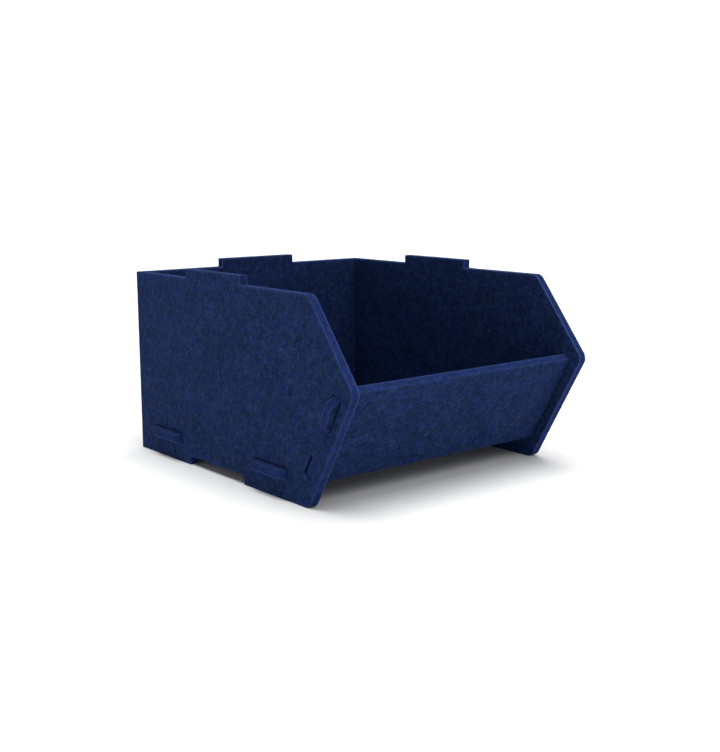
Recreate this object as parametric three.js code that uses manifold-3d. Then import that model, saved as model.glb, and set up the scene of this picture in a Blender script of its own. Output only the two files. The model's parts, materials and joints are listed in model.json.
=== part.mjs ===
// Flat-pack storage bin of thick felt board, in millimetres, +Z up.
//
// Three walls stand round a raised floor: a back wall and two side walls, which are one sheet
// of board grooved and folded at the two back corners. The open front faces -Y. A low front
// panel leans out between the side walls, and tabs on the floor and on the front panel plug
// into slots in the side walls. Tabs along the tops of the walls fit the notches under another
// bin, so that bins stack.
//
// The origin is on the table under the middle of the bin. "Forward" below is the distance from
// the outer face of the back wall towards the open front, and "up" is the height over the table.

import * as THREE from "three";
import { mergeVertices } from "three/addons/utils/BufferGeometryUtils.js";
import Module from "manifold-3d";

const wasm = await Module();
wasm.setup();

// Driving dimensions
const boardThickness = 9;
const width = 300; // over the outer faces of the side walls
const wallHeight = 190.5; // to the edge that a second bin rests on
const baseDepth = 300; // side walls, forward, along the table and along the top edge
const noseDepth = 362; // forward to the side walls' front point, before it is rounded
const noseHeight = 111.5;
const cornerRadius = 10;
const foldGap = 0.22; // half of the groove that stays open where the sheet folds

const stackHeight = boardThickness; // tabs on top of the walls, notches under them
const stackLength = 96;
const stackSlack = 0.8; // play at each end of a notch
const sideStackStart = 100.3;

const panelGap = 0.4; // between a panel's edge and the wall beside it
const floorUnderside = 20.5;
const floorTabs = [
  { start: 31, end: 85 },
  { start: 214.3, end: 268.3 },
];
const tabOverhang = 7; // tabs stand out of the side walls by this much
const floorTabRadius = 7;

const panelInset = 10.9; // front panel's face, behind the side walls' lower front edge
const panelFoot = 18; // along the slope, from the table to the front panel's lower edge
const panelTop = 119.6;
const upperTab = { start: 79, end: 112, taper: 5, radius: 8 };
const lowerTab = { start: 24, end: 45, recess: 1.5, radius: 1.5 };

const slotSlack = 0.7; // round a tab, below it and in front of it
const slotSlackAbove = 1;
const slotSlackBehind = 1.6; // lets the wall swing clear of the tab about its fold
const panelSlotSlack = { front: 1.4, behind: 2.6, ends: 0.4 };

const arcSteps = 8;

// Values that follow from them
const halfWidth = width / 2;
const innerHalfWidth = halfWidth - boardThickness;
const stackTop = wallHeight + stackHeight;
const lean = Math.atan2(noseDepth - baseDepth, noseHeight); // of the front slope, from upright

// A point of the side wall, given along the lower front slope and behind it.
function fromSlope(along, behind) {
  return [
    baseDepth + along * Math.sin(lean) - behind * Math.cos(lean),
    along * Math.cos(lean) + behind * Math.sin(lean),
  ];
}

// Outline points from corners, each [x, y] or, where it is rounded, [x, y, radius].
function outlinePoints(corners) {
  return corners.flatMap(([x, y, radius], index) => {
    const corner = new THREE.Vector2(x, y);
    if (!radius) return [corner];
    const before = new THREE.Vector2(...corners.at(index - 1).slice(0, 2)).sub(corner).normalize();
    const after = new THREE.Vector2(...corners[(index + 1) % corners.length].slice(0, 2));
    after.sub(corner).normalize();
    return arcPoints(corner, before, after, radius);
  });
}

// Points of the arc that rounds a corner between the directions to its two neighbours.
function arcPoints(corner, before, after, radius) {
  const halfAngle = before.angleTo(after) / 2;
  const middle = before.clone().add(after).normalize();
  const centre = corner.clone().addScaledVector(middle, radius / Math.sin(halfAngle));
  const start = corner.clone().addScaledVector(before, radius / Math.tan(halfAngle)).sub(centre);
  const turn = (Math.PI - 2 * halfAngle) * Math.sign(after.cross(before));
  return Array.from({ length: arcSteps + 1 }, (_, step) =>
    start.clone().rotateAround(new THREE.Vector2(), (turn * step) / arcSteps).add(centre),
  );
}

// The other half of an outline that is the same on both sides of x = 0.
function mirrored(corners) {
  return corners.map(([x, y, radius]) => [-x, y, radius]).reverse();
}

// Corners of a tab that stands out of the edge x = edge as far as x = tip. With a taper, it
// narrows by that much at either end, outside the side wall.
function tabCorners(edge, tip, start, end, radius, taper = 0) {
  return [
    [edge, start],
    ...(taper ? [[halfWidth, start]] : []),
    [tip, start + taper, radius],
    [tip, end - taper, radius],
    ...(taper ? [[halfWidth, end]] : []),
    [edge, end],
  ];
}

function feltMaterial(color) {
  return new THREE.MeshStandardMaterial({ color, roughness: 0.95, metalness: 0 });
}

function extrude(corners, depth) {
  const shape = new THREE.Shape(outlinePoints(corners));
  return new THREE.ExtrudeGeometry(shape, { depth, bevelEnabled: false });
}

// A flat piece of board in the XY plane, thick along +Z.
function board(name, color, corners) {
  const mesh = new THREE.Mesh(extrude(corners, boardThickness), feltMaterial(color));
  mesh.name = name;
  return mesh;
}

function toSolid(geometry) {
  const bare = geometry.clone();
  bare.deleteAttribute("normal");
  bare.deleteAttribute("uv");
  const merged = mergeVertices(bare);
  return new wasm.Manifold(
    new wasm.Mesh({
      numProp: 3,
      vertProperties: merged.attributes.position.array,
      triVerts: Uint32Array.from(merged.index.array),
    }),
  );
}

// Cuts slots right through a flat piece of board.
function cutSlots(mesh, slots) {
  let solid = toSolid(mesh.geometry);
  for (const slot of slots) {
    const cutter = extrude(slot, 3 * boardThickness).translate(0, 0, -boardThickness);
    solid = solid.subtract(toSolid(cutter));
  }
  const { vertProperties, triVerts } = solid.getMesh();
  mesh.geometry = new THREE.BufferGeometry();
  mesh.geometry.setAttribute("position", new THREE.BufferAttribute(vertProperties, 3));
  mesh.geometry.setIndex(new THREE.BufferAttribute(triVerts, 1));
  mesh.geometry.computeVertexNormals();
}

// Slants the end at x = edge to 45 degrees, by drawing its edge on the inner face inwards.
function mitre(mesh, edge, innerFace, inwards) {
  const position = mesh.geometry.attributes.position;
  const near = (a, b) => Math.abs(a - b) < 0.001;
  for (let i = 0; i < position.count; i += 1) {
    if (near(position.getX(i), edge) && near(position.getZ(i), innerFace)) {
      position.setX(i, edge + inwards * boardThickness);
    }
  }
  mesh.geometry.computeVertexNormals();
}

function backWall() {
  const edge = halfWidth - foldGap;
  const tab = stackLength / 2;
  const notch = tab + stackSlack;
  const side = [
    [notch, stackHeight],
    [notch, 0],
    [edge, 0],
    [edge, wallHeight],
    [tab, wallHeight],
    [tab, stackTop],
  ];
  const mesh = board("back_wall", 0x1c2947, [...side, ...mirrored(side)]);
  mitre(mesh, edge, boardThickness, -1);
  mitre(mesh, -edge, boardThickness, 1);
  mesh.rotation.x = Math.PI / 2; // stands up, with its inner face towards the front
  return mesh;
}

// Slots for the two floor tabs, in the side wall's own plane.
function floorSlots() {
  const bottom = floorUnderside - slotSlack;
  const top = floorUnderside + boardThickness + slotSlackAbove;
  return floorTabs.map(({ start, end }) => [
    [start - slotSlackBehind, bottom],
    [end + slotSlack, bottom],
    [end + slotSlack, top],
    [start - slotSlackBehind, top],
  ]);
}

// Slots for the two tabs of the front panel, along the lower front slope.
function frontPanelSlots() {
  const front = panelInset - panelSlotSlack.front;
  const back = panelInset + boardThickness + panelSlotSlack.behind;
  return [lowerTab, upperTab].map(({ start, end }) => [
    fromSlope(start - panelSlotSlack.ends, back),
    fromSlope(start - panelSlotSlack.ends, front),
    fromSlope(end + panelSlotSlack.ends, front),
    fromSlope(end + panelSlotSlack.ends, back),
  ]);
}

// One side wall. "side" is -1 for the wall on the left, seen from the open front, and 1 for the
// one on the right.
function sideWall(name, side) {
  const stackEnd = sideStackStart + stackLength;
  const corners = [
    [foldGap, 0],
    [sideStackStart - stackSlack, 0],
    [sideStackStart - stackSlack, stackHeight],
    [stackEnd + stackSlack, stackHeight],
    [stackEnd + stackSlack, 0],
    [baseDepth, 0, cornerRadius],
    [noseDepth, noseHeight, cornerRadius],
    [baseDepth, wallHeight, cornerRadius],
    [stackEnd, wallHeight],
    [stackEnd, stackTop],
    [sideStackStart, stackTop],
    [sideStackStart, wallHeight],
    [foldGap, wallHeight],
  ];
  const mesh = board(name, 0x24345c, corners);
  mitre(mesh, foldGap, side < 0 ? 0 : boardThickness, 1);
  cutSlots(mesh, [...floorSlots(), ...frontPanelSlots()]);
  mesh.rotation.set(Math.PI / 2, 0, -Math.PI / 2, "ZYX"); // stands up and runs front to back
  mesh.position.x = side < 0 ? -innerHalfWidth : halfWidth;
  return mesh;
}

function floorPanel() {
  const edge = innerHalfWidth - panelGap;
  const tip = halfWidth + tabOverhang;
  const [panelFootForward] = fromSlope(panelFoot, panelInset + boardThickness);
  const tabs = floorTabs
    .toReversed()
    .flatMap(({ start, end }) => tabCorners(edge, tip, -end, -start, floorTabRadius));
  const side = [[edge, panelGap - panelFootForward], ...tabs, [edge, -boardThickness - panelGap]];
  const mesh = board("floor_panel", 0x1a2644, [...side, ...mirrored(side)]);
  mesh.position.z = floorUnderside;
  return mesh;
}

function frontPanel() {
  const edge = innerHalfWidth - panelGap;
  const lower = tabCorners(
    edge,
    halfWidth - lowerTab.recess,
    lowerTab.start,
    lowerTab.end,
    lowerTab.radius,
  );
  const upper = tabCorners(
    edge,
    halfWidth + tabOverhang,
    upperTab.start,
    upperTab.end,
    upperTab.radius,
    upperTab.taper,
  );
  const side = [[edge, panelFoot], ...lower, ...upper, [edge, panelTop]];
  const mesh = board("front_panel", 0x223157, [...side, ...mirrored(side)]);
  const [forward, up] = fromSlope(0, panelInset + boardThickness);
  mesh.position.set(0, -forward, up);
  mesh.rotation.x = Math.PI / 2 + lean;
  return mesh;
}

const bin = new THREE.Group();
bin.add(
  backWall(),
  sideWall("left_side_wall", -1),
  sideWall("right_side_wall", 1),
  floorPanel(),
  frontPanel(),
);

// Brings the middle of the whole bin over the origin.
const extent = new THREE.Box3().setFromObject(bin);
bin.position.y = -(extent.min.y + extent.max.y) / 2;

export default bin;
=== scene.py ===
import json
import math

import bpy
import numpy as np
from mathutils import Matrix, Vector, geometry, kdtree, noise


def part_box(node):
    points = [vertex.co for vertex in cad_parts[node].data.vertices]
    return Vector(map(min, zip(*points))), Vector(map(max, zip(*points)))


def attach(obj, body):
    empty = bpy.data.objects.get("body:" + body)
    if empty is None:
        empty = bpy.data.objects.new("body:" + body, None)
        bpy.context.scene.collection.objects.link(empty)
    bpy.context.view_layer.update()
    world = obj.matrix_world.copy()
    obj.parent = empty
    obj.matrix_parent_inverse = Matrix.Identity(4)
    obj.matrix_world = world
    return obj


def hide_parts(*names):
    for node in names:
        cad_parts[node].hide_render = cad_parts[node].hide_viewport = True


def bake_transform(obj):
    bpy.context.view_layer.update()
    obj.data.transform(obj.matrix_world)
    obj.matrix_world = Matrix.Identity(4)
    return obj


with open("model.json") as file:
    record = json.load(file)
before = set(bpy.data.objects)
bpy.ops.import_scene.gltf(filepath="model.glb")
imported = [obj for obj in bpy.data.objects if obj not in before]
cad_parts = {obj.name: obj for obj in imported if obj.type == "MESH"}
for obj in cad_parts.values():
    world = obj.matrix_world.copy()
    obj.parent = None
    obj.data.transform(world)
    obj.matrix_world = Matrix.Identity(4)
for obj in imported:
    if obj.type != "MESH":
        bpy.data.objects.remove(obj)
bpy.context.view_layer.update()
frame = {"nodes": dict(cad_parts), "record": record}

# A flat-pack storage bin of thick heather felt board. Each board is rebuilt from the outline of
# its CAD node, with soft arrises, cut edges that show the layers of fibre, and a slightly uneven
# face. All lengths are in metres, in the row frame: +Z up, the open front faces -Y.

MM = 0.001

# Boards
ARRIS = 0.6 * MM  # radius between a face and a cut edge
CORNER_SOFTNESS = 0.9 * MM  # radius of the outline's sharp corners
FACE_SPACING = 2.2 * MM  # between the points of a face
RIM_SPACING = 1.0 * MM  # between the points of an outline
RIM_BAND = 1.2 * MM  # the face next to a cut edge, where the fibres are lifted and a highlight is painted
RIM_FRAY_AND_HIGHLIGHT = 0.2  # how lifted they are there and how strong the painted highlight is, from 0 to about 1
EDGE_FRAY_AND_HIGHLIGHT = 0.1  # and in the middle of a cut edge
OUTER_FRAY_AND_HIGHLIGHT = 0.45  # and on the arris of the outer face, lifted fibres with a painted highlight
INNER_FRAY_AND_HIGHLIGHT = 1.1  # and on the arris of the inner one, with a brighter painted highlight
PANEL_FRAY_AND_HIGHLIGHT = 0.6  # share of that on the floor and front panels
SLOT_FRAY_AND_HIGHLIGHT = 0.35  # and round slots, with less painted highlight
FACE_JITTER = 0.2  # how far a face's points stray, as a share of their spacing
FACE_CLEARANCE = 0.7  # and how far they stay from the outline
SHARP_TURN = math.radians(25)  # a larger turn of the outline is a corner, and not part of an arc
STRAIGHT_TURN = math.radians(0.5)  # a smaller one is a point on a straight line
CORNER_SHARE = 0.4  # the most of an edge that a soft corner takes up
SAME_POINT = 0.001  # mm, between points of the CAD mesh that are taken as one
ARRIS_STEPS = 3
EDGE_STEPS = 6
FILLET_STEPS = 4

# Unevenness of the felt
WAVE_HEIGHT = 0.14 * MM
WAVE_LENGTH = 70 * MM
LUMP_HEIGHT = 0.11 * MM
LUMP_LENGTH = 7 * MM
FRAY_HEIGHT = 0.16 * MM
FRAY_LENGTH = 2.5 * MM
EDGE_CROWN = 0.12 * MM  # how far the middle of a cut edge stands out
FELT_SHIFT = 0.37  # of the felt coordinates from one seed to the next

# Fibres that stand out of the cut edges
FIBRES = 420  # on each board
FIBRE_LENGTH = (0.5 * MM, 1.9 * MM)
FIBRE_RADIUS = 0.07 * MM
FIBRE_ROOT = 0.4 * MM  # how deep they start inside the board
FIBRE_LEAN = 1.2  # along the edge, where 1 is 45 degrees
FIBRE_RISE = 0.7  # across the edge
FIBRE_BEND = 0.3  # of its length
FIBRE_TAPER = 0.6
NEAR_FACE = 0.7  # share of the fibres that come out beside a face
NEAR_FACE_DEPTHS = [0.04, 0.96]  # as shares of the thickness
TABLE_CLEARANCE = 1.5 * MM
FIBRE_SIDES = 3
FIBRE_STEPS = 3

# Fold between the back wall and a side wall
MITRE_FADE = 30 * MM
FOLD_RADIUS = 1.0 * MM  # of the bent skin, on the outside
SKIN_REACH = 3.2 * MM  # along either wall, from the corner
SKIN_THICKNESS = 0.6 * MM
SKIN_POINTS = 19
SKIN_RISE = 0.12 * MM  # how far the skin stands out beside the corner
SKIN_BURIED = 0.3 * MM  # how deep its two long edges lie in the boards
SKIN_INSET = 0.3 * MM  # its ends, from the bottom and top edges

# Fibre colours, linear
BLUE_DARK = (0.0034, 0.0112, 0.0510)
BLUE_MIDDLE = (0.0075, 0.0196, 0.0930)
BLUE_PALE = (0.0132, 0.0308, 0.1500)
GREY_DARK = (0.0070, 0.0158, 0.0370)
GREY_MIDDLE = (0.0130, 0.0266, 0.0650)
GREY_PALE = (0.0234, 0.0432, 0.1040)
# Paler colour of lifted fibres, which also paints a highlight along the arrises and the rims of cut
# edges
LIFTED_FIBRE_AND_HIGHLIGHT = (0.0370, 0.0690, 0.2120)
CHARCOAL = (0.0060, 0.0100, 0.0220)
CUT_TINT = (0.9, 0.88, 1.08)  # of a cut edge, where the blue fibres are seen end on

# Light
HORIZON_STRENGTH = 1.1
ZENITH_STRENGTH = 0.15
SKY_FADE = (0.1, 0.4)  # the sine of the elevation where the sky starts and stops fading
OVERHEAD_STRENGTH = 3.0
FRONT_STRENGTH = 0.9
SUN_SPREAD = math.radians(50)
FLOOR_HALF_WIDTH = 12
FLOOR_BRIGHTNESS = 0.9

# Camera, fitted to the photo's perspective
CAMERA_PLACE = (-0.7222, -0.8835, 0.29235)
CAMERA_YAW = 0.6906  # radians, from +Y towards +X
CAMERA_PITCH = 0.1793  # downwards
CAMERA_ROLL = 0.0017
CAMERA_LENS = 53.58  # mm, with a sensor 36 mm wide


def lift(points, direction, height):
    """Points moved along a direction by an array of heights."""
    return points + np.outer(height, direction)


def noise_at(points, length, seed):
    """Smooth noise from about -1 to 1 at each point, with features of about that length."""
    offset = Vector((17.3 * seed, -9.1 * seed, 5.7 * seed))
    return np.array([noise.noise(Vector(p) / length + offset) for p in points.tolist()])


# Reading a board's shape from its CAD node


class Board:
    """A flat board of the frame: its outward normal, its in-plane axes, its outline and thickness."""

    def __init__(self, node, outward, folded_ends=(), fray_and_highlight=1.0, grain_across=False):
        self.node = node
        self.fray_and_highlight = fray_and_highlight
        self.grain_across = grain_across
        mesh = frame["nodes"][node].data
        corners = np.array([v.co for v in mesh.vertices])
        triangles = np.array([list(p.vertices) for p in mesh.polygons])
        normals = np.array([p.normal for p in mesh.polygons])
        areas = np.array([p.area for p in mesh.polygons])
        towards = normals @ np.array(Vector(outward).normalized())
        facing = towards > 0.7
        self.normal = Vector((normals[facing] * areas[facing, None]).sum(0)).normalized()
        self.across = Vector((0, 0, 1)).cross(self.normal)
        if self.across.length < 0.1:
            self.across = Vector((1, 0, 0))
        self.across.normalize()
        self.up = self.normal.cross(self.across)
        depth = corners @ np.array(self.normal)
        self.thickness = depth.max() - depth.min()
        self.origin = self.normal * depth.max()
        axes = np.array([self.across, self.up])
        flat = corners @ axes.T
        outer = facing & (depth[triangles].min(1) > depth.max() - 10 * SAME_POINT * MM)
        self.loops = [tidy_loop(loop) for loop in boundary_loops(flat, triangles[outer])]
        self.axes = np.array([self.across, self.up, -self.normal])
        ends = {"low": (flat[:, 0].min(), 1), "high": (flat[:, 0].max(), -1)}
        self.mitred = [ends[end] for end in folded_ends]

    def to_row_direction(self, flat, depth):
        """A row-frame direction from an in-plane one and a share of depth."""
        return np.array([*flat, depth]) @ self.axes

    def folded(self, point):
        """Whether an in-plane point lies at an end of the board that is folded."""
        return any(abs(point[0] - end) < 2 * self.thickness for end, _ in self.mitred)

    def to_row(self, flat, depth):
        """Row-frame points from in-plane points and depths below the outer face."""
        return np.column_stack([flat, depth]) @ self.axes + np.array(self.origin)


def boundary_loops(flat, triangles):
    """Closed loops of in-plane points round a set of triangles, the material on their left."""
    keys = [tuple(p) for p in np.round(flat / (SAME_POINT * MM)).astype(int)]
    edges = {(keys[a], keys[b]) for t in triangles for a, b in zip(t, np.roll(t, -1))}
    following = {a: b for a, b in edges if (b, a) not in edges}
    loops = []
    while following:
        start, point = following.popitem()
        loop = [start]
        while point != start:
            loop.append(point)
            point = following.pop(point)
        loops.append(np.array(loop) * SAME_POINT * MM)
    return sorted(loops, key=lambda loop: -abs(loop_area(loop)))


def loop_area(loop):
    """The area inside a loop, negative where it runs clockwise."""
    x, y = loop.T
    return 0.5 * (x * np.roll(y, -1) - y * np.roll(x, -1)).sum()


def turns(loop):
    """The angle that the outline turns by at each point, positive to the left."""
    ahead = np.roll(loop, -1, 0) - loop
    behind = loop - np.roll(loop, 1, 0)
    cross = behind[:, 0] * ahead[:, 1] - behind[:, 1] * ahead[:, 0]
    return np.arctan2(cross, (behind * ahead).sum(1))


def tidy_loop(loop):
    """A loop without its points that lie on a straight line."""
    return loop[np.abs(turns(loop)) > STRAIGHT_TURN]


# Outlines


def unit(vectors):
    """The same directions, each of length 1."""
    return vectors / np.maximum(np.linalg.norm(vectors, axis=-1, keepdims=True), 1e-12)


def fine_loop(loop):
    """The outline with soft corners and true arcs, as closely spaced points."""
    turn = turns(loop)
    ahead = np.roll(loop, -1, 0) - loop
    length = np.linalg.norm(ahead, axis=1)
    direction = unit(ahead)
    sharp = np.abs(turn) > SHARP_TURN
    before = np.roll(length, 1)
    longer_ahead = (length > before)[:, None]
    even = (np.minimum(length, before) * 2 > np.maximum(length, before))[:, None]
    single = np.where(longer_ahead, direction, np.roll(direction, 1, 0))
    tangent = np.where(even, unit(direction + np.roll(direction, 1, 0)), single)
    cut = np.where(sharp, CORNER_SOFTNESS * np.tan(np.abs(turn) / 2), 0)
    cut = np.minimum(cut, CORNER_SHARE * np.minimum(length, before))
    points = []
    for i in range(len(loop)):
        j = (i + 1) % len(loop)
        if sharp[i]:
            points.extend(fillet(loop[i], direction[i - 1], direction[i], cut[i]))
        start = loop[i] + direction[i] * cut[i]
        end = loop[j] - direction[i] * cut[j]
        leave = direction[i] if sharp[i] else tangent[i]
        arrive = direction[i] if sharp[j] else tangent[j]
        points.extend(curve(start, end, leave, arrive))
    return np.array(points)


def fillet(corner, arriving, leaving, cut):
    """Points of the small curve that softens a corner, without its last one."""
    start, end = corner - arriving * cut, corner + leaving * cut
    steps = np.arange(FILLET_STEPS) / FILLET_STEPS
    return [(1 - t) ** 2 * start + 2 * t * (1 - t) * corner + t**2 * end for t in steps]


def curve(start, end, leave, arrive):
    """Evenly spaced points of the smooth curve from start to end, without end."""
    length = np.linalg.norm(end - start)
    count = max(1, math.ceil(length / RIM_SPACING))
    t = (np.arange(count) / count)[:, None]
    return list(
        (2 * t**3 - 3 * t**2 + 1) * start
        + (t**3 - 2 * t**2 + t) * length * leave
        + (3 * t**2 - 2 * t**3) * end
        + (t**3 - t**2) * length * arrive
    )


def outward_normals(loop):
    """The direction out of the material at each point, longer where the outline turns."""
    behind = unit(loop - np.roll(loop, 1, 0))
    ahead = unit(np.roll(loop, -1, 0) - loop)
    middle = unit(behind + ahead)
    stretch = np.maximum((middle * ahead).sum(1), 0.5)[:, None]
    return np.column_stack([middle[:, 1], -middle[:, 0]]) / stretch


def inside(points, loops):
    """Whether each point lies in the material that the loops bound."""
    x, y = points.T
    odd = np.zeros(len(points), bool)
    for loop in loops:
        for (x0, y0), (x1, y1) in zip(loop, np.roll(loop, -1, 0)):
            if y0 == y1:
                continue
            spans = (y0 > y) != (y1 > y)
            odd ^= spans & (x < x0 + (y - y0) * (x1 - x0) / (y1 - y0))
    return odd


def face_points(loops, rng):
    """Slightly irregular points over a face, clear of its outline, and how far in they are."""
    low, high = loops[0].min(0), loops[0].max(0)
    row = FACE_SPACING * math.sqrt(3) / 2
    grid = [
        (x + (j % 2) * FACE_SPACING / 2, y)
        for j, y in enumerate(np.arange(low[1], high[1], row))
        for x in np.arange(low[0], high[0], FACE_SPACING)
    ]
    jitter = rng.uniform(-FACE_JITTER, FACE_JITTER, (len(grid), 2))
    grid = np.array(grid) + jitter * FACE_SPACING
    grid = grid[inside(grid, loops)]
    rim = np.vstack(loops)
    tree = kdtree.KDTree(len(rim))
    for i, p in enumerate(rim):
        tree.insert((*p, 0), i)
    tree.balance()
    margin = np.array([tree.find((*p, 0))[2] for p in grid])
    clear = margin > FACE_CLEARANCE * FACE_SPACING
    return grid[clear], margin[clear]


def loop_edges(loops):
    """Each point of the loops with the one after it, as indices into all their points."""
    edges, first = [], 0
    for loop in loops:
        last = first + len(loop)
        edges.extend((i, i + 1 if i + 1 < last else first) for i in range(first, last))
        first = last
    return edges


def triangulate(loops, rng):
    """In-plane points, the loops' own ones first, how far in they are, and their triangles."""
    inner_points, margin = face_points(loops, rng)
    points = np.vstack([*loops, inner_points])
    flat = [Vector(p) for p in points.tolist()]
    cut = geometry.delaunay_2d_cdt(flat, loop_edges(loops), [], 0, 1e-9)
    faces, origins = cut[2:4]
    source = np.array([o[0] for o in origins])
    faces = source[np.array(faces)]
    middles = points[faces].mean(1)
    margin = np.concatenate([np.zeros(len(points) - len(margin)), margin])
    return points, margin, faces[inside(middles, loops)]


# Board meshes


def edge_profile(thickness):
    """Rings from the outer face to the inner one: (inset, depth, how lifted the fibres are and how
    strong the painted highlight is).
    """
    quarter = [k / ARRIS_STEPS * math.pi / 2 for k in range(ARRIS_STEPS + 1)]
    outer = [(ARRIS * (1 - math.sin(a)), ARRIS * (1 - math.cos(a)), OUTER_FRAY_AND_HIGHLIGHT) for a in quarter]
    straight = thickness - 2 * ARRIS
    middle = []
    for k in range(1, EDGE_STEPS):
        share = k / EDGE_STEPS
        crown = EDGE_CROWN * math.sin(math.pi * share)
        middle.append((-crown, ARRIS + straight * share, EDGE_FRAY_AND_HIGHLIGHT))
    inner = [(inset, thickness - depth, INNER_FRAY_AND_HIGHLIGHT) for inset, depth, _ in reversed(outer)]
    return [*outer, *middle, *inner]


def felt_board(name, board, body, seed):
    """One board of felt, cut at 45 degrees on its inner side at the ends where the sheet folds."""
    rng = np.random.default_rng(seed)
    loops = [fine_loop(loop) for loop in board.loops]
    normals = [outward_normals(loop) for loop in loops]
    inner_loops = [loop - normal * ARRIS for loop, normal in zip(loops, normals)]
    face, margin, triangles = triangulate(inner_loops, rng)
    face_fray_and_highlight = RIM_FRAY_AND_HIGHLIGHT * np.clip(1 - margin / RIM_BAND, 0, 1)
    rim, rim_normals = np.vstack(loops), np.vstack(normals)
    count = len(rim)
    rings = edge_profile(board.thickness)[1:-1]

    # The outer face, the rings of the cut edge, and the inner face
    flat = np.vstack([face, *[rim - rim_normals * inset for inset, _, _ in rings], face])
    depth = layered(0, [ring_depth for _, ring_depth, _ in rings], board.thickness, face, rim)
    fray_and_highlight = layered(face_fray_and_highlight, [ring_fray_and_highlight for _, _, ring_fray_and_highlight in rings], face_fray_and_highlight, face, rim)

    inner_face = len(flat) - len(face)
    starts = [0, *range(len(face), inner_face, count), inner_face]
    faces = [tuple(t) for t in triangles]
    faces += [tuple(inner_face + t[::-1]) for t in triangles]
    for upper, lower in zip(starts, starts[1:]):
        faces += [(upper + i, lower + i, lower + j, upper + j) for i, j in loop_edges(loops)]

    rest = np.column_stack([flat, depth])
    fray = noise_at(rest, FRAY_LENGTH, seed) * FRAY_HEIGHT * np.minimum(2 * fray_and_highlight, 1)
    moved = flat.copy()
    for start in starts[1:-1]:
        ring = slice(start, start + count)
        moved[ring] += rim_normals * fray[ring, None]
    for position, inwards in board.mitred:
        near = 1 - np.clip(np.abs(moved[:, 0] - position) / MITRE_FADE, 0, 1)
        moved[:, 0] += inwards * depth * near
    wave = noise_at(np.column_stack([flat, 0 * depth]), WAVE_LENGTH, seed + 1) * WAVE_HEIGHT
    face_like = np.where(fray_and_highlight > RIM_FRAY_AND_HIGHLIGHT, 0, 1 - fray_and_highlight)
    outwards = np.where(depth < board.thickness / 2, 1.0, -1.0)
    lumps = noise_at(rest, LUMP_LENGTH, seed + 2) * LUMP_HEIGHT * face_like * outwards
    solid = lift(board.to_row(moved, depth), board.normal, wave + lumps)

    cut = np.where((depth > 2 * ARRIS) & (depth < board.thickness - 2 * ARRIS), 1.0, 0.0)
    # Panels and slots get less of the pale lift and painted highlight; this scales only the colour,
    # not the fraying
    rim_highlight_shares = [np.full(len(loop), SLOT_FRAY_AND_HIGHLIGHT if k else board.fray_and_highlight) for k, loop in enumerate(loops)]
    face_highlight_shares = np.ones(len(face))
    fray_and_highlight = fray_and_highlight * np.concatenate([face_highlight_shares, *rim_highlight_shares * len(rings), face_highlight_shares])
    coordinates = rest[:, [1, 0, 2]] if board.grain_across else rest
    piece = felt_piece(name, solid, faces, coordinates + FELT_SHIFT * seed, fray_and_highlight, cut)
    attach(piece, body)
    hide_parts(board.node)
    return piece


def layered(outer, rings, inner, face, rim):
    """A value for each point of a board, from those of its two faces and of each ring."""
    values = [np.full(len(face), outer), *[np.full(len(rim), value) for value in rings]]
    return np.concatenate([*values, np.full(len(face), inner)])


def felt_piece(name, points, faces, felt, fray_and_highlight, cut):
    """A mesh object that carries its own felt coordinates, how lifted or cut its fibres are, and its
    painted highlight.
    """
    mesh = bpy.data.meshes.new(name)
    mesh.from_pydata(points.tolist(), [], [tuple(map(int, f)) for f in faces])
    mesh.attributes.new("felt", "FLOAT_VECTOR", "POINT").data.foreach_set(
        "vector", felt.astype(np.float32).ravel()
    )
    for attribute, values in (("fray_and_highlight", fray_and_highlight), ("cut", cut)):
        mesh.attributes.new(attribute, "FLOAT", "POINT").data.foreach_set(
            "value", values.astype(np.float32)
        )
    mesh.shade_smooth()
    piece = bpy.data.objects.new(name, mesh)
    bpy.context.scene.collection.objects.link(piece)
    return piece


def edge_fibres(name, board, body, seed):
    """Loose fibres along a board's cut edges, clear of the table and of the folded ends."""
    rng = np.random.default_rng(seed)
    loop = fine_loop(board.loops[0])
    normals = unit(outward_normals(loop))
    length = np.linalg.norm(np.roll(loop, -1, 0) - loop, axis=1)
    points, faces, felt = [], [], []
    while len(felt) < FIBRES:
        at = rng.choice(len(loop), p=length / length.sum())
        start = loop[at] + (loop[(at + 1) % len(loop)] - loop[at]) * rng.random()
        near_face = rng.random() < NEAR_FACE
        depth = board.thickness * (rng.choice(NEAR_FACE_DEPTHS) if near_face else rng.random())
        outwards = board.to_row_direction(normals[at], 0)
        sideways = board.to_row_direction([-normals[at][1], normals[at][0]], 0)
        lean = rng.uniform(-FIBRE_LEAN, FIBRE_LEAN)
        rise = rng.uniform(-FIBRE_RISE, FIBRE_RISE)
        direction = Vector(outwards + lean * sideways + rise * np.array(board.normal)).normalized()
        bend = Vector(rng.uniform(-1, 1, 3))
        reach = rng.uniform(*FIBRE_LENGTH)
        root = Vector(board.to_row([start], [depth])[0]) - Vector(outwards) * FIBRE_ROOT
        tip = root + direction * (reach + FIBRE_ROOT)
        if min(root.z, tip.z) < TABLE_CLEARANCE or board.folded(start):
            continue
        first = len(points)
        points += fibre_points(root, direction, bend, reach + FIBRE_ROOT)
        faces += [tuple(first + i for i in face) for face in fibre_faces()]
        felt.append([*start, depth])
    felt = np.repeat(np.array(felt), FIBRE_SIDES * FIBRE_STEPS + 1, axis=0) + FELT_SHIFT * seed
    # Loose fibres get the full pale colour of lifted fibres, painted highlight included
    lifted_and_highlit = np.ones(len(points))
    piece = felt_piece(name, np.array(points), faces, felt, lifted_and_highlit, 0 * lifted_and_highlit)
    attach(piece, body)
    return piece


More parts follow.
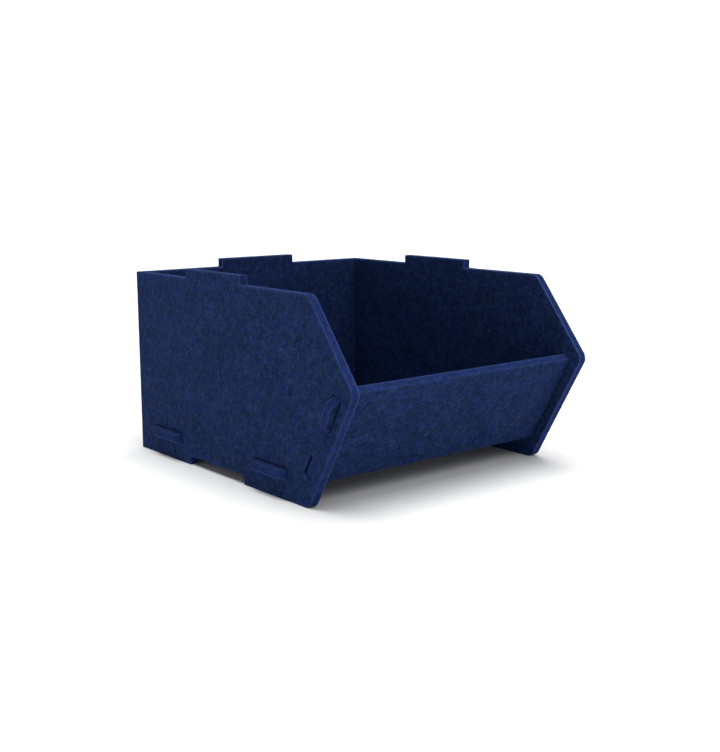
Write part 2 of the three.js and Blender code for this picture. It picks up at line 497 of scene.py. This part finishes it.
def fibre_points(root, direction, bend, length):
    """Rings of a curved, tapering fibre, and its tip."""
    across = direction.orthogonal().normalized()
    around = direction.cross(across)
    points = []
    for step in range(FIBRE_STEPS):
        share = step / FIBRE_STEPS
        centre = root + direction * length * share + bend * length * FIBRE_BEND * share**2
        radius = FIBRE_RADIUS * (1 - FIBRE_TAPER * share)
        for side in range(FIBRE_SIDES):
            angle = side / FIBRE_SIDES * 2 * math.pi
            points.append(centre + (across * math.cos(angle) + around * math.sin(angle)) * radius)
    points.append(root + direction * length + bend * length * FIBRE_BEND)
    return points


def fibre_faces():
    """Faces of one closed fibre, over the points of fibre_points."""
    faces = [tuple(reversed(range(FIBRE_SIDES)))]
    tip = FIBRE_SIDES * FIBRE_STEPS
    for side in range(FIBRE_SIDES):
        after = (side + 1) % FIBRE_SIDES
        for ring in range(0, tip - FIBRE_SIDES, FIBRE_SIDES):
            lower, upper = ring, ring + FIBRE_SIDES
            faces.append((lower + side, lower + after, upper + after, upper + side))
        last = tip - FIBRE_SIDES
        faces.append((last + side, last + after, tip))
    return faces


def fold_skin(name, side, seed):
    """The skin of the sheet that bends round a back corner when a side wall is closed."""
    outer_half_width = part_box("right_side_wall")[1][0]
    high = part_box("back_wall")[1]
    wall_top = stack_rest_height()
    corner = np.array([side * outer_half_width, high[1]])
    along, rise = skin_path()
    heights = np.arange(SKIN_INSET, wall_top - SKIN_INSET, FACE_SPACING)
    heights = np.append(heights, wall_top - SKIN_INSET)
    points, felt = [], []
    for z in heights:
        for layer in (0, 1):
            for s, h in zip(along, rise):
                across, outwards = skin_point(s, h - layer * SKIN_THICKNESS)
                points.append((corner[0] + side * across, corner[1] + outwards, z))
                felt.append((s, z, 0))
    points, felt = np.array(points), np.array(felt)
    ring = 2 * len(along)
    order = list(range(len(along))) + list(range(ring - 1, len(along) - 1, -1))
    if side < 0:
        order.reverse()
    faces = []
    for level in range(len(heights) - 1):
        for i, j in zip(order, order[1:] + order[:1]):
            faces.append(tuple(level * ring + k for k in (i, i + ring, j + ring, j)))
    faces.append(tuple(order))
    faces.append(tuple((len(heights) - 1) * ring + k for k in reversed(order)))
    lumps = noise_at(felt, LUMP_LENGTH, seed) * LUMP_HEIGHT
    away = unit(points[:, :2] - (corner - np.array([side, 1]) * SKIN_REACH))
    points[:, :2] += away * lumps[:, None]
    plain = np.zeros(len(points))
    piece = felt_piece(name, points, faces, felt + FELT_SHIFT * seed, plain, plain)
    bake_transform(piece)
    return piece


def stack_rest_height():
    """The height of the walls without their stacking tabs."""
    mounts = {mount["name"]: mount for mount in frame["record"]["mounts"]}
    return mounts["stack_rest_back"]["pos_m"][2]


def skin_path():
    """Distances along the skin, 0 at the middle of the bend, and how far it stands out there."""
    half = SKIN_REACH - FOLD_RADIUS + FOLD_RADIUS * math.pi / 4
    along = np.linspace(-half, half, SKIN_POINTS)
    edge = np.abs(along) / half
    return along, SKIN_RISE - (SKIN_RISE + SKIN_BURIED) * edge**4


def skin_point(s, height):
    """Across and outwards from the corner, at a distance along the skin and a height over it."""
    half_arc = FOLD_RADIUS * math.pi / 4
    radius = FOLD_RADIUS + height
    if abs(s) <= half_arc:
        angle = math.pi / 4 + s / FOLD_RADIUS
        return radius * math.sin(angle) - FOLD_RADIUS, radius * math.cos(angle) - FOLD_RADIUS
    straight = abs(s) - half_arc
    if s < 0:
        return -FOLD_RADIUS - straight, height
    return height, -FOLD_RADIUS - straight


# Materials


def new_material(name):
    """A material with its node tree and its shader."""
    material = bpy.data.materials.new(name)
    material.use_nodes = True
    return material, material.node_tree, material.node_tree.nodes["Principled BSDF"]


def felt_material():
    """Heather needle felt: royal blue and charcoal fibres in clumps, paler where they are lifted and
    where a highlight is painted along the arrises and rims.
    """
    material, tree, shader = new_material("navy_heather_felt")
    nodes, link = tree.nodes, tree.links.new

    def node(kind, **values):
        made = nodes.new(kind)
        for key, value in values.items():
            setattr(made, key, value)
        return made

    def maths(operation, *operands):
        made = node("ShaderNodeMath", operation=operation)
        for socket, value in zip(made.inputs, operands):
            if isinstance(value, (int, float)):
                socket.default_value = value
            else:
                link(value, socket)
        return made.outputs[0]

    def mix(factor, first, second, blend_type="MIX"):
        """Two colours mixed, each from a node's output or as plain numbers."""
        made = node("ShaderNodeMix", data_type="RGBA", blend_type=blend_type)
        for socket, value in (("Factor", factor), ("A", first), ("B", second)):
            if isinstance(value, tuple):
                made.inputs[socket].default_value = (*value, 1)
            else:
                link(value, made.inputs[socket])
        return made.outputs["Result"]

    felt = node("ShaderNodeAttribute", attribute_name="felt").outputs["Vector"]
    fray_and_highlight = node("ShaderNodeAttribute", attribute_name="fray_and_highlight").outputs["Fac"]
    cut = node("ShaderNodeAttribute", attribute_name="cut").outputs["Fac"]

    def pattern(angle, scale, detail, distortion=0.0, roughness=0.5):
        """Noise in the board's own coordinates, with cells per metre along each of its axes."""
        mapping = node("ShaderNodeMapping")
        mapping.inputs["Rotation"].default_value = (0, 0, math.radians(angle))
        mapping.inputs["Scale"].default_value = scale
        link(felt, mapping.inputs["Vector"])
        texture = node("ShaderNodeTexNoise")
        texture.inputs["Scale"].default_value = 1.0
        texture.inputs["Detail"].default_value = detail
        texture.inputs["Roughness"].default_value = roughness
        texture.inputs["Distortion"].default_value = distortion
        link(mapping.outputs[0], texture.inputs["Vector"])
        return texture.outputs["Fac"]

    def weighted(*terms):
        """The sum of (pattern, share) terms."""
        total = 0.0
        for value, share in terms:
            total = maths("MULTIPLY_ADD", value, share, total)
        return total

    def ramp(value, *stops):
        """Colours at (position, colour) stops, the first two being the lowest and the highest."""
        made = node("ShaderNodeValToRGB")
        elements = made.color_ramp.elements
        for index, (position, color) in enumerate(stops):
            stop = elements[index] if index < 2 else elements.new(position)
            stop.position = position
            stop.color = (*color, 1)
        link(value, made.inputs["Fac"])
        return made.outputs["Color"]

    clumps = pattern(0, (170, 180, 350), 4.0, 0.9, 0.72)
    patches = pattern(0, (45, 35, 45), 2.0)
    fibres = weighted(
        (pattern(6, (800, 190, 900), 2.0, 0.8), 0.4),
        (pattern(52, (800, 190, 900), 2.0, 0.8), 0.3),
        (pattern(-40, (800, 190, 900), 2.0, 0.8), 0.3),
    )
    grain = pattern(0, (1700, 1300, 1700), 2.0)
    shade = weighted((clumps, 0.45), (fibres, 0.35), (patches, 0.1), (grain, 0.1))
    tint = weighted((pattern(20, (190, 200, 350), 4.0, 0.9, 0.72), 0.7), (fibres, 0.3))

    blue = ramp(shade, (0.42, BLUE_DARK), (0.58, BLUE_PALE), (0.5, BLUE_MIDDLE))
    grey = ramp(shade, (0.42, GREY_DARK), (0.58, GREY_PALE), (0.5, GREY_MIDDLE))
    heather = mix(ramp(tint, (0.42, (0, 0, 0)), (0.58, (1, 1, 1))), grey, blue)
    fleck = pattern(-25, (420, 230, 600), 3.0, 0.8, 0.6)
    flecked = mix(ramp(fleck, (0.56, (0, 0, 0)), (0.68, (0.75, 0.75, 0.75))), heather, CHARCOAL)
    # Paler where fibres are lifted, and a painted highlight along the arrises and rims
    lift_and_highlight_share = maths("MULTIPLY", fray_and_highlight, weighted((fibres, 0.9), (grain, 0.5)))
    lifted_and_highlit = mix(lift_and_highlight_share, flecked, LIFTED_FIBRE_AND_HIGHLIGHT)
    link(mix(cut, lifted_and_highlit, CUT_TINT, "MULTIPLY"), shader.inputs["Base Color"])

    roughness = maths("ADD", weighted((grain, 0.2), (clumps, 0.1)), 0.7)
    link(roughness, shader.inputs["Roughness"])
    shader.inputs["Specular IOR Level"].default_value = 0.03
    shader.inputs["Sheen Weight"].default_value = 0.1
    shader.inputs["Sheen Roughness"].default_value = 0.22
    shader.inputs["Sheen Tint"].default_value = (0.35, 0.5, 1.0, 1)

    relief = weighted((clumps, 0.3), (fibres, 0.45), (grain, 0.25))
    bump = node("ShaderNodeBump")
    bump.inputs["Strength"].default_value = 0.7
    bump.inputs["Distance"].default_value = 0.6 * MM
    link(relief, bump.inputs["Height"])
    link(bump.outputs["Normal"], shader.inputs["Normal"])
    return material


# Stage, light and camera


def make_stage():
    """A plain pale floor that reaches the horizon."""
    half = FLOOR_HALF_WIDTH
    mesh = bpy.data.meshes.new("floor")
    corners = [(-half, -half, 0), (half, -half, 0), (half, half, 0), (-half, half, 0)]
    mesh.from_pydata(corners, [], [(0, 1, 2, 3)])
    floor = bpy.data.objects.new("floor", mesh)
    bpy.context.scene.collection.objects.link(floor)
    material, _, shader = new_material("pale_floor")
    shader.inputs["Base Color"].default_value = (*[FLOOR_BRIGHTNESS] * 3, 1)
    shader.inputs["Roughness"].default_value = 0.9
    shader.inputs["Specular IOR Level"].default_value = 0.0
    mesh.materials.append(material)


def make_light():
    """A white horizon under a dim sky, with a soft light straight above and one in front."""
    world = bpy.data.worlds.new("studio")
    bpy.context.scene.world = world
    world.use_nodes = True
    nodes, link = world.node_tree.nodes, world.node_tree.links.new
    direction = nodes.new("ShaderNodeTexCoord").outputs["Generated"]
    split = nodes.new("ShaderNodeSeparateXYZ")
    link(direction, split.inputs[0])
    fade = nodes.new("ShaderNodeMapRange")
    fade.interpolation_type = "SMOOTHSTEP"
    link(split.outputs["Z"], fade.inputs["Value"])
    fade.inputs["From Min"].default_value = SKY_FADE[0]
    fade.inputs["From Max"].default_value = SKY_FADE[1]
    fade.inputs["To Min"].default_value = HORIZON_STRENGTH
    fade.inputs["To Max"].default_value = ZENITH_STRENGTH
    background = nodes["Background"]
    background.inputs["Color"].default_value = (1, 1, 1, 1)
    link(fade.outputs["Result"], background.inputs["Strength"])
    soft_sun("overhead", 90, OVERHEAD_STRENGTH)
    soft_sun("front", 50, FRONT_STRENGTH)
    bpy.context.scene.view_settings.view_transform = "Standard"


def soft_sun(name, elevation, strength):
    """A broad, distant light on the open side of the bin, at an elevation in degrees."""
    data = bpy.data.lights.new(name, "SUN")
    data.energy = strength
    data.angle = SUN_SPREAD
    light = bpy.data.objects.new(name, data)
    light.rotation_euler = (math.radians(90 - elevation), 0, 0)
    bpy.context.scene.collection.objects.link(light)


def make_camera():
    """The photo's view: from the front left, a little above the bin."""
    data = bpy.data.cameras.new("camera")
    data.sensor_width = 36
    data.lens = CAMERA_LENS
    camera = bpy.data.objects.new("camera", data)
    bpy.context.scene.collection.objects.link(camera)
    yaw, pitch = CAMERA_YAW, CAMERA_PITCH
    forward = Vector(
        (math.sin(yaw) * math.cos(pitch), math.cos(yaw) * math.cos(pitch), -math.sin(pitch))
    )
    turn = Matrix.Rotation(CAMERA_ROLL, 3, forward)
    right = turn @ Vector((math.cos(yaw), -math.sin(yaw), 0))
    up = right.cross(forward)
    axes = Matrix((right, up, -forward)).transposed().to_4x4()
    camera.matrix_world = Matrix.Translation(CAMERA_PLACE) @ axes
    bpy.context.scene.camera = camera


make_camera()
make_stage()
make_light()

felt = felt_material()
boards = {
    "back_wall": (Board("back_wall", (0, 1, 0), ["low", "high"]), "back_and_panels"),
    "left_side_wall": (Board("left_side_wall", (-1, 0, 0), ["low"]), "left_side"),
    "right_side_wall": (Board("right_side_wall", (1, 0, 0), ["high"]), "right_side"),
    "floor_panel": (Board("floor_panel", (0, 0, 1), fray_and_highlight=PANEL_FRAY_AND_HIGHLIGHT), "back_and_panels"),
    "front_panel": (
        Board("front_panel", (0, -1, -0.5), fray_and_highlight=PANEL_FRAY_AND_HIGHLIGHT, grain_across=True),
        "back_and_panels",
    ),
}
pieces = []
for seed, (name, (board, body)) in enumerate(boards.items(), start=1):
    pieces.append(felt_board(f"{name}_felt", board, body, seed))
    pieces.append(edge_fibres(f"{name}_fibres", board, body, 10 + seed))
pieces.append(fold_skin("left_fold_skin", -1, 21))
pieces.append(fold_skin("right_fold_skin", 1, 22))
for piece in pieces:
    piece.data.materials.append(felt)
